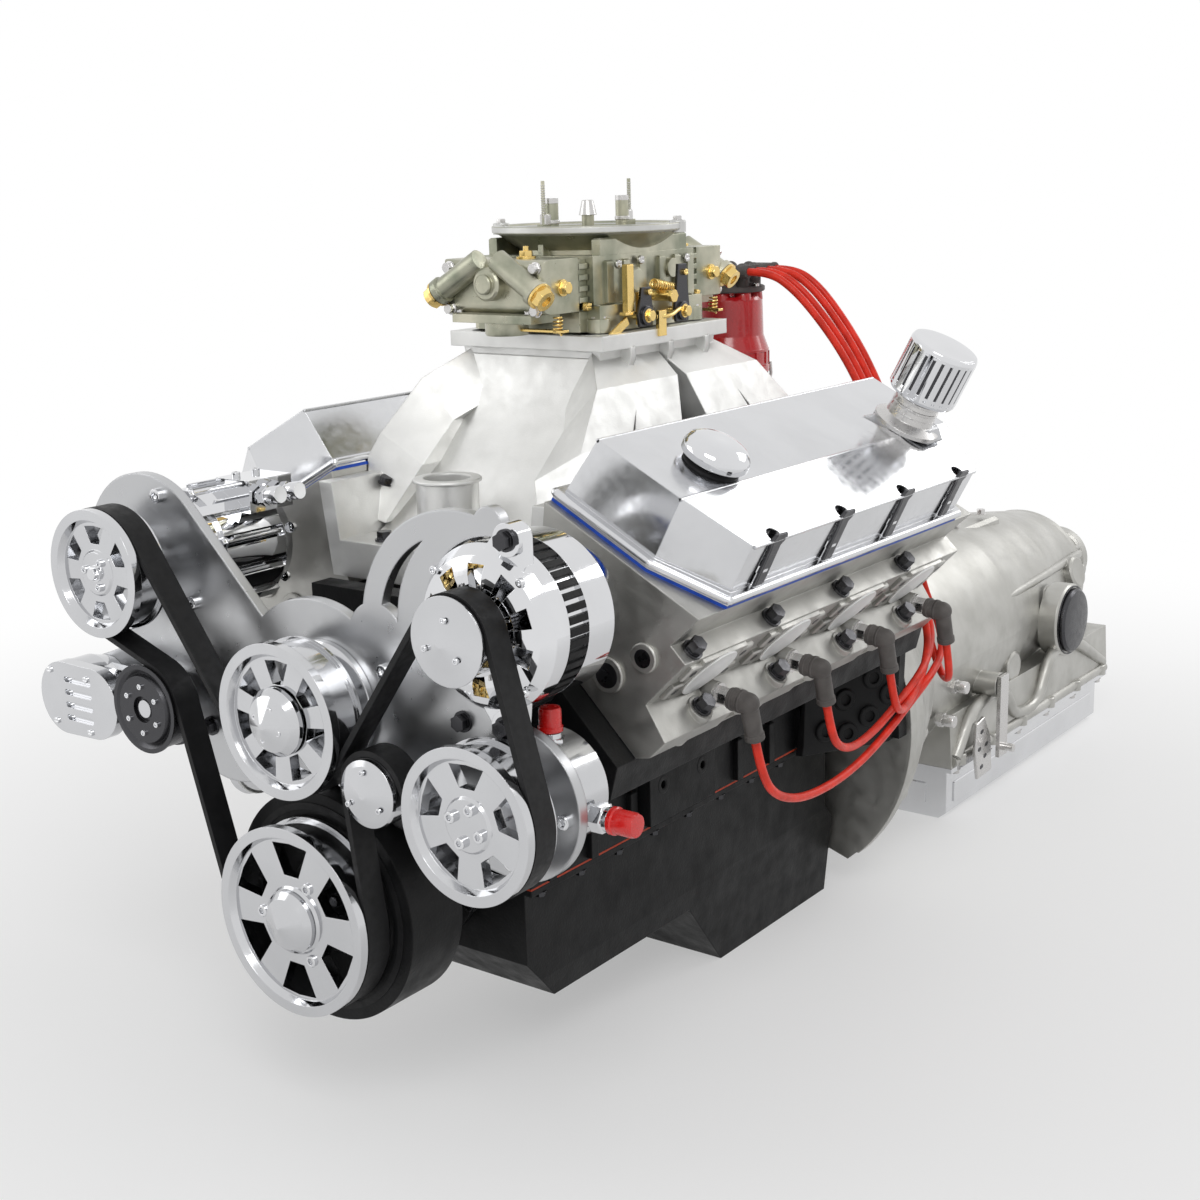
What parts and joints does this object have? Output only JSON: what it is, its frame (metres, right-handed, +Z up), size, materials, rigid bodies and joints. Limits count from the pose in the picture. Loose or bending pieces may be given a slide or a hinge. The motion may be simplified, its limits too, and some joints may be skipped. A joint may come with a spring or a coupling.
{
  "type": "complete v8 engine with automatic gearbox",
  "caption": "Dressed V8 engine with belt-driven accessories, four-barrel carburettor, red plug wires and a bolted-on automatic gearbox; crank, cam, pumps and throttles turn.",
  "frame": {"origin": "centre of the oil pan's flat bottom", "axes": "+Y from the accessory drive at the front to the gearbox tail, +Z up, +X over the bank with the oil filler"},
  "size_m": [0.6435, 1.721, 0.7955],
  "materials": {
    "block_black": "satin black paint over cast iron",
    "cast_aluminium": "as-cast, bead-blasted",
    "satin_plate": "satin machined plate",
    "polished_aluminium": "polished, turned",
    "cover_aluminium": "bright satin sheet",
    "chrome": "mirror plated",
    "machined_steel": "machined and ground",
    "plain_iron": "machined cast iron",
    "gasket_blue": "moulded blue gasket",
    "gasket_orange": "pressed orange-red gasket",
    "belt_rubber": "ribbed rubber",
    "boot_rubber": "moulded grey silicone",
    "wire_red": "red silicone jacket",
    "cap_red": "moulded red plastic",
    "port_cap_red": "moulded red plastic",
    "cover_white": "plain white sticker film on card",
    "carb_zinc": "grey-green chromate on zinc casting",
    "brass": "yellow plated",
    "trans_cast": "as-cast",
    "dark_steel": "black oxide"
  },
  "bodies": {
    "engine": {"engine_block": "block_black", "main_caps": "plain_iron", "timing_chain": "dark_steel", "pistons": "cast_aluminium", "cylinder_head_left": "cast_aluminium", "cylinder_head_right": "cast_aluminium", "head_gaskets": "dark_steel", "engine_bolts": "dark_steel", "exhaust_port_covers": "cover_white", "cover_gaskets": "gasket_blue", "valve_cover_left": "cover_aluminium", "valve_cover_right": "cover_aluminium", "filler_neck": "machined_steel", "spark_plugs": "machined_steel", "plug_boots": "boot_rubber", "plug_wires_left": "wire_red", "plug_wires_right": "wire_red", "intake_manifold": "cast_aluminium", "carb_throttle_body": "carb_zinc", "carb_main_body": "carb_zinc", "carb_front_bowl": "carb_zinc", "carb_rear_bowl": "carb_zinc", "distributor_housing": "machined_steel", "distributor_cap": "cap_red", "drive_belt": "belt_rubber", "water_pump_housing": "polished_aluminium", "accessory_bracket": "satin_plate", "alternator_case": "chrome", "ac_compressor": "chrome", "ps_pump": "polished_aluminium", "ps_port_caps": "port_cap_red", "timing_cover": "block_black", "oil_pan_gasket": "gasket_orange", "oil_pan": "block_black", "transmission_case": "trans_cast", "transmission_pan": "chrome", "tail_housing": "trans_cast"},
    "crank": {"crankshaft": "machined_steel", "crank_gear": "machined_steel", "harmonic_damper": "block_black", "crank_pulley": "polished_aluminium", "crank_pulley_cap": "polished_aluminium", "flexplate": "machined_steel", "torque_converter": "machined_steel"},
    "cam": {"camshaft": "machined_steel", "cam_gear": "machined_steel"},
    "distributor_rotor": {"distributor_shaft": "machined_steel"},
    "water_pump_rotor": {"water_pump_pulley": "polished_aluminium"},
    "alternator_spindle": {"alternator_rotor": "polished_aluminium"},
    "steering_pump_rotor": {"ps_pulley": "polished_aluminium"},
    "compressor_clutch": {"ac_clutch_pulley": "polished_aluminium"},
    "belt_idler": {"idler_pulley": "polished_aluminium"},
    "belt_tensioner": {"tensioner_arm": "polished_aluminium"},
    "tensioner_wheel": {"tensioner_pulley": "dark_steel"},
    "primary_throttle": {"primary_throttle_shaft": "brass"},
    "secondary_throttle": {"secondary_throttle_shaft": "brass"},
    "gearbox_output": {"output_shaft": "machined_steel"},
    "gear_selector": {"shift_lever": "machined_steel"},
    "oil_filler_cap": {"filler_cap": "chrome"},
    "cover_breather": {"breather_cap": "chrome"}
  },
  "joints": [
    {"name": "crank_spin", "type": "hinge", "parent": "engine", "child": "crank", "pos_m": [0, -0.579, 0.2], "axis": [0, 1, 0], "continuous": true},
    {"name": "cam_spin", "type": "hinge", "parent": "engine", "child": "cam", "pos_m": [0, -0.579, 0.3309], "axis": [0, 1, 0], "continuous": true},
    {"name": "distributor_spin", "type": "hinge", "parent": "engine", "child": "distributor_rotor", "pos_m": [0, 0.081, 0.5], "axis": [0, 0, 1], "continuous": true},
    {"name": "water_pump_spin", "type": "hinge", "parent": "engine", "child": "water_pump_rotor", "pos_m": [0, -0.579, 0.375], "axis": [0, 1, 0], "continuous": true},
    {"name": "alternator_spin", "type": "hinge", "parent": "engine", "child": "alternator_spindle", "pos_m": [0.187, -0.579, 0.468], "axis": [0, 1, 0], "continuous": true},
    {"name": "steering_pump_spin", "type": "hinge", "parent": "engine", "child": "steering_pump_rotor", "pos_m": [0.199, -0.579, 0.326], "axis": [0, 1, 0], "continuous": true},
    {"name": "compressor_spin", "type": "hinge", "parent": "engine", "child": "compressor_clutch", "pos_m": [-0.219, -0.579, 0.473], "axis": [0, 1, 0], "continuous": true},
    {"name": "idler_spin", "type": "hinge", "parent": "engine", "child": "belt_idler", "pos_m": [0.096, -0.579, 0.331], "axis": [0, 1, 0], "continuous": true},
    {"name": "tensioner_swing", "type": "hinge", "parent": "engine", "child": "belt_tensioner", "pos_m": [-0.287, -0.579, 0.348], "axis": [0, 1, 0], "range_deg": [0, 12], "stiffness_Nm_per_rad": 60, "springref_deg": -20.05},
    {"name": "tensioner_wheel_spin", "type": "hinge", "parent": "belt_tensioner", "child": "tensioner_wheel", "pos_m": [-0.173, -0.579, 0.356], "axis": [0, 1, 0], "continuous": true},
    {"name": "primary_throttle_turn", "type": "hinge", "parent": "engine", "child": "primary_throttle", "pos_m": [0, -0.193, 0.6722], "axis": [1, 0, 0], "range_deg": [0, 80], "stiffness_Nm_per_rad": 0.3, "springref_deg": -17.19},
    {"name": "secondary_throttle_turn", "type": "hinge", "parent": "engine", "child": "secondary_throttle", "pos_m": [0, -0.133, 0.6722], "axis": [1, 0, 0], "range_deg": [0, 80]},
    {"name": "output_spin", "type": "hinge", "parent": "engine", "child": "gearbox_output", "pos_m": [0, 1.061, 0.2], "axis": [0, 1, 0], "continuous": true},
    {"name": "selector_turn", "type": "hinge", "parent": "engine", "child": "gear_selector", "pos_m": [0.14, 0.466, 0.16], "axis": [1, 0, 0], "range_deg": [-22, 22]},
    {"name": "filler_cap_pull", "type": "slide", "parent": "engine", "child": "oil_filler_cap", "axis": [0.4695, 0, 0.8829], "range_m": [0, 0.05]},
    {"name": "breather_pull", "type": "slide", "parent": "engine", "child": "cover_breather", "axis": [0.4695, 0, 0.8829], "range_m": [0, 0.03]}
  ],
  "couplings": [
    {"joint": "cam_spin", "follows": "crank_spin", "ratio": 0.5},
    {"joint": "distributor_spin", "follows": "crank_spin", "ratio": 0.5},
    {"joint": "water_pump_spin", "follows": "crank_spin", "ratio": -1.2787},
    {"joint": "alternator_spin", "follows": "crank_spin", "ratio": 2.5161},
    {"joint": "steering_pump_spin", "follows": "crank_spin", "ratio": 1.3448},
    {"joint": "compressor_spin", "follows": "crank_spin", "ratio": 1.5},
    {"joint": "idler_spin", "follows": "crank_spin", "ratio": -2.6897},
    {"joint": "tensioner_wheel_spin", "follows": "crank_spin", "ratio": -2.0526},
    {"joint": "secondary_throttle_turn", "follows": "primary_throttle_turn", "ratio": 1}
  ]
}
